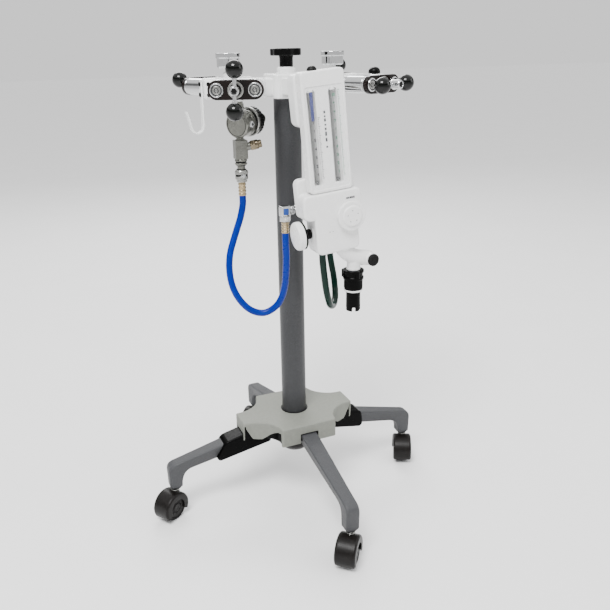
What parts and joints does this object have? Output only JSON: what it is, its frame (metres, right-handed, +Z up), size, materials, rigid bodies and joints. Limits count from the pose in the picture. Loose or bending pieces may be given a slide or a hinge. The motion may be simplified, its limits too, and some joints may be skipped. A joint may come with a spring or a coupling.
{
  "type": "gas sedation stand",
  "caption": "Wheeled stand with a mast, a crossbar carrying cylinder yokes with ball-ended screws, pressure gauges, hoses and a hanging flowmeter with a breathing bag tee.",
  "frame": {"origin": "floor level on the mast axis", "axes": "+Z up the mast, -Y towards the front where the flowmeter hangs, +X along the crossbar to the right"},
  "size_m": [0.6166, 0.6143, 0.917],
  "materials": {
    "base_hub": "hammered grey powder coat",
    "leg_right": "hammered grey paint over a casting",
    "leg_back": "hammered grey paint over a casting",
    "leg_left": "hammered grey paint over a casting",
    "leg_front": "hammered grey paint over a casting",
    "base_cover": "fine textured warm grey plastic",
    "base_liner": "glossy black plastic",
    "caster_right": "dark brown-black plastic hood",
    "caster_wheels_right": "black tread",
    "caster_back": "dark brown-black plastic hood",
    "caster_wheels_back": "black tread",
    "caster_left": "dark brown-black plastic hood",
    "caster_wheels_left": "black tread",
    "caster_front": "dark brown-black plastic hood",
    "caster_wheels_front": "black tread",
    "mast_tube": "dark grey speckled powder coat",
    "manifold_casting": "gloss white paint",
    "port_plug": "glossy black",
    "clamp_knob": "black phenolic",
    "yoke_frame_front_left": "polished chrome",
    "yoke_plate_front_left": "glossy black-brown",
    "yoke_pad_front_left": "turned steel",
    "yoke_screw_front_left": "polished chrome",
    "yoke_handle_front_left": "glossy black balls on a chrome bar",
    "yoke_frame_front_right": "polished chrome",
    "yoke_plate_front_right": "glossy black-brown",
    "yoke_pad_front_right": "turned steel",
    "yoke_screw_front_right": "polished chrome",
    "yoke_handle_front_right": "glossy black balls on a chrome bar",
    "yoke_frame_back_left": "polished chrome",
    "yoke_plate_back_left": "glossy black-brown",
    "yoke_pad_back_left": "turned steel",
    "yoke_screw_back_left": "polished chrome",
    "yoke_handle_back_left": "glossy black balls on a chrome bar",
    "yoke_frame_back_right": "polished chrome",
    "yoke_plate_back_right": "glossy black-brown",
    "yoke_pad_back_right": "turned steel",
    "yoke_screw_back_right": "polished chrome",
    "yoke_handle_back_right": "glossy black balls on a chrome bar",
    "gauge_left": "chrome case, white dial face",
    "gauge_needle_left": "black",
    "gauge_right": "chrome case, white dial face",
    "gauge_needle_right": "black",
    "hanging_hook": "gloss white paint",
    "regulator": "satin nickel plate",
    "regulator_outlet": "satin nickel plate",
    "hose_ferrule_upper": "crimped ferrule",
    "blue_hose": "glossy blue",
    "green_hose": "glossy dark green",
    "flowmeter_body": "gloss white",
    "flowmeter_window": "clear panel",
    "flow_float_left": "black",
    "flow_float_right": "black",
    "control_block": "gloss white",
    "mixture_knob": "gloss white, black inner rim",
    "flow_dial": "gloss white",
    "inlet_elbow": "chrome and crimped ferrule",
    "bag_tee": "gloss white",
    "tee_cap": "black",
    "bag_connector": "glossy black"
  },
  "bodies": {
    "stand": {"base_hub": "base_hub", "leg_right": "leg_right", "leg_back": "leg_back", "leg_left": "leg_left", "leg_front": "leg_front", "base_cover": "base_cover", "base_liner": "base_liner", "mast_tube": "mast_tube", "manifold_casting": "manifold_casting", "port_plug": "port_plug", "yoke_frame_front_left": "yoke_frame_front_left", "yoke_plate_front_left": "yoke_plate_front_left", "yoke_frame_front_right": "yoke_frame_front_right", "yoke_plate_front_right": "yoke_plate_front_right", "yoke_frame_back_left": "yoke_frame_back_left", "yoke_plate_back_left": "yoke_plate_back_left", "yoke_frame_back_right": "yoke_frame_back_right", "yoke_plate_back_right": "yoke_plate_back_right", "gauge_left": "gauge_left", "gauge_right": "gauge_right", "hanging_hook": "hanging_hook", "regulator": "regulator", "regulator_outlet": "regulator_outlet", "hose_ferrule_upper": "hose_ferrule_upper", "blue_hose": "blue_hose", "green_hose": "green_hose", "flowmeter_body": "flowmeter_body", "flowmeter_window": "flowmeter_window", "control_block": "control_block", "inlet_elbow": "inlet_elbow", "bag_tee": "bag_tee", "tee_cap": "tee_cap"},
    "caster_right": {"caster_right": "caster_right"},
    "wheels_right": {"caster_wheels_right": "caster_wheels_right"},
    "caster_back": {"caster_back": "caster_back"},
    "wheels_back": {"caster_wheels_back": "caster_wheels_back"},
    "caster_left": {"caster_left": "caster_left"},
    "wheels_left": {"caster_wheels_left": "caster_wheels_left"},
    "caster_front": {"caster_front": "caster_front"},
    "wheels_front": {"caster_wheels_front": "caster_wheels_front"},
    "pad_front_left": {"yoke_pad_front_left": "yoke_pad_front_left"},
    "screw_front_left": {"yoke_screw_front_left": "yoke_screw_front_left", "yoke_handle_front_left": "yoke_handle_front_left"},
    "pad_front_right": {"yoke_pad_front_right": "yoke_pad_front_right"},
    "screw_front_right": {"yoke_screw_front_right": "yoke_screw_front_right", "yoke_handle_front_right": "yoke_handle_front_right"},
    "pad_back_left": {"yoke_pad_back_left": "yoke_pad_back_left"},
    "screw_back_left": {"yoke_screw_back_left": "yoke_screw_back_left", "yoke_handle_back_left": "yoke_handle_back_left"},
    "pad_back_right": {"yoke_pad_back_right": "yoke_pad_back_right"},
    "screw_back_right": {"yoke_screw_back_right": "yoke_screw_back_right", "yoke_handle_back_right": "yoke_handle_back_right"},
    "clamp_knob": {"clamp_knob": "clamp_knob"},
    "needle_left": {"gauge_needle_left": "gauge_needle_left"},
    "needle_right": {"gauge_needle_right": "gauge_needle_right"},
    "float_left": {"flow_float_left": "flow_float_left"},
    "float_right": {"flow_float_right": "flow_float_right"},
    "mixture_knob": {"mixture_knob": "mixture_knob"},
    "flow_dial": {"flow_dial": "flow_dial"},
    "bag_connector": {"bag_connector": "bag_connector"}
  },
  "joints": [
    {"name": "caster_swivel_right", "type": "hinge", "parent": "stand", "child": "caster_right", "pos_m": [0.271, 0, 0.0563], "axis": [0, 0, 1], "continuous": true},
    {"name": "wheel_spin_right", "type": "hinge", "parent": "caster_right", "child": "wheels_right", "pos_m": [0.26419, -0.01337, 0.0275], "axis": [0.891, -0.454, 0], "continuous": true},
    {"name": "caster_swivel_back", "type": "hinge", "parent": "stand", "child": "caster_back", "pos_m": [0, 0.271, 0.0563], "axis": [0, 0, 1], "continuous": true},
    {"name": "wheel_spin_back", "type": "hinge", "parent": "caster_back", "child": "wheels_back", "pos_m": [-0.01004, 0.25985, 0.0275], "axis": [0.7431, -0.6691, 0], "continuous": true},
    {"name": "caster_swivel_left", "type": "hinge", "parent": "stand", "child": "caster_left", "pos_m": [-0.271, 0, 0.0563], "axis": [0, 0, 1], "continuous": true},
    {"name": "wheel_spin_left", "type": "hinge", "parent": "caster_left", "child": "wheels_left", "pos_m": [-0.28358, -0.00817, 0.0275], "axis": [0.5446, -0.8387, 0], "continuous": true},
    {"name": "caster_swivel_front", "type": "hinge", "parent": "stand", "child": "caster_front", "pos_m": [0, -0.271, 0.0563], "axis": [0, 0, 1], "continuous": true},
    {"name": "wheel_spin_front", "type": "hinge", "parent": "caster_front", "child": "wheels_front", "pos_m": [-0.01004, -0.28215, 0.0275], "axis": [0.7431, -0.6691, 0], "continuous": true},
    {"name": "yoke_travel_front_left", "type": "slide", "parent": "stand", "child": "pad_front_left", "axis": [-0.3746, -0.9272, 0], "range_m": [-0.006, 0.006]},
    {"name": "yoke_turn_front_left", "type": "hinge", "parent": "pad_front_left", "child": "screw_front_left", "pos_m": [-0.131, -0.102, 0.8535], "axis": [-0.3746, -0.9272, 0], "range_deg": [-1080, 1080]},
    {"name": "yoke_travel_front_right", "type": "slide", "parent": "stand", "child": "pad_front_right", "axis": [0.3746, -0.9272, 0], "range_m": [-0.006, 0.006]},
    {"name": "yoke_turn_front_right", "type": "hinge", "parent": "pad_front_right", "child": "screw_front_right", "pos_m": [0.141, -0.102, 0.8535], "axis": [0.3746, -0.9272, 0], "range_deg": [-1080, 1080]},
    {"name": "yoke_travel_back_left", "type": "slide", "parent": "stand", "child": "pad_back_left", "axis": [-0.3746, 0.9272, 0], "range_m": [-0.006, 0.006]},
    {"name": "yoke_turn_back_left", "type": "hinge", "parent": "pad_back_left", "child": "screw_back_left", "pos_m": [-0.131, 0.102, 0.8535], "axis": [-0.3746, 0.9272, 0], "range_deg": [-1080, 1080]},
    {"name": "yoke_travel_back_right", "type": "slide", "parent": "stand", "child": "pad_back_right", "axis": [0.3746, 0.9272, 0], "range_m": [-0.006, 0.006]},
    {"name": "yoke_turn_back_right", "type": "hinge", "parent": "pad_back_right", "child": "screw_back_right", "pos_m": [0.141, 0.102, 0.8535], "axis": [0.3746, 0.9272, 0], "range_deg": [-1080, 1080]},
    {"name": "clamp_knob_turn", "type": "hinge", "parent": "stand", "child": "clamp_knob", "pos_m": [0, 0, 0.9], "axis": [0, 0, 1], "continuous": true},
    {"name": "gauge_needle_turn_left", "type": "hinge", "parent": "stand", "child": "needle_left", "pos_m": [-0.1065, 0.012, 0.908], "axis": [0, 0, 1], "range_deg": [-250, 20]},
    {"name": "gauge_needle_turn_right", "type": "hinge", "parent": "stand", "child": "needle_right", "pos_m": [0.0985, 0.012, 0.908], "axis": [0, 0, 1], "range_deg": [-250, 20]},
    {"name": "flow_float_rise_left", "type": "slide", "parent": "stand", "child": "float_left", "axis": [-0.0906, 0, 0.9959], "range_m": [0, 0.148]},
    {"name": "flow_float_rise_right", "type": "slide", "parent": "stand", "child": "float_right", "axis": [-0.0906, 0, 0.9959], "range_m": [0, 0.148]},
    {"name": "mixture_knob_turn", "type": "hinge", "parent": "stand", "child": "mixture_knob", "pos_m": [-0.03383, -0.127, 0.60078], "axis": [-0.9959, 0, -0.0906], "range_deg": [-150, 150]},
    {"name": "flow_dial_turn", "type": "hinge", "parent": "stand", "child": "flow_dial", "pos_m": [0.05652, -0.155, 0.63411], "axis": [0, -1, 0], "range_deg": [-135, 135]},
    {"name": "bag_connector_swivel", "type": "hinge", "parent": "stand", "child": "bag_connector", "pos_m": [0.0735, -0.13, 0.48], "axis": [0, 0, 1], "continuous": true}
  ],
  "couplings": [
    {"joint": "yoke_travel_front_left", "follows": "yoke_turn_front_left", "m_per_rad": 0.00031831},
    {"joint": "yoke_travel_front_right", "follows": "yoke_turn_front_right", "m_per_rad": 0.00031831},
    {"joint": "yoke_travel_back_left", "follows": "yoke_turn_back_left", "m_per_rad": 0.00031831},
    {"joint": "yoke_travel_back_right", "follows": "yoke_turn_back_right", "m_per_rad": 0.00031831}
  ]
}
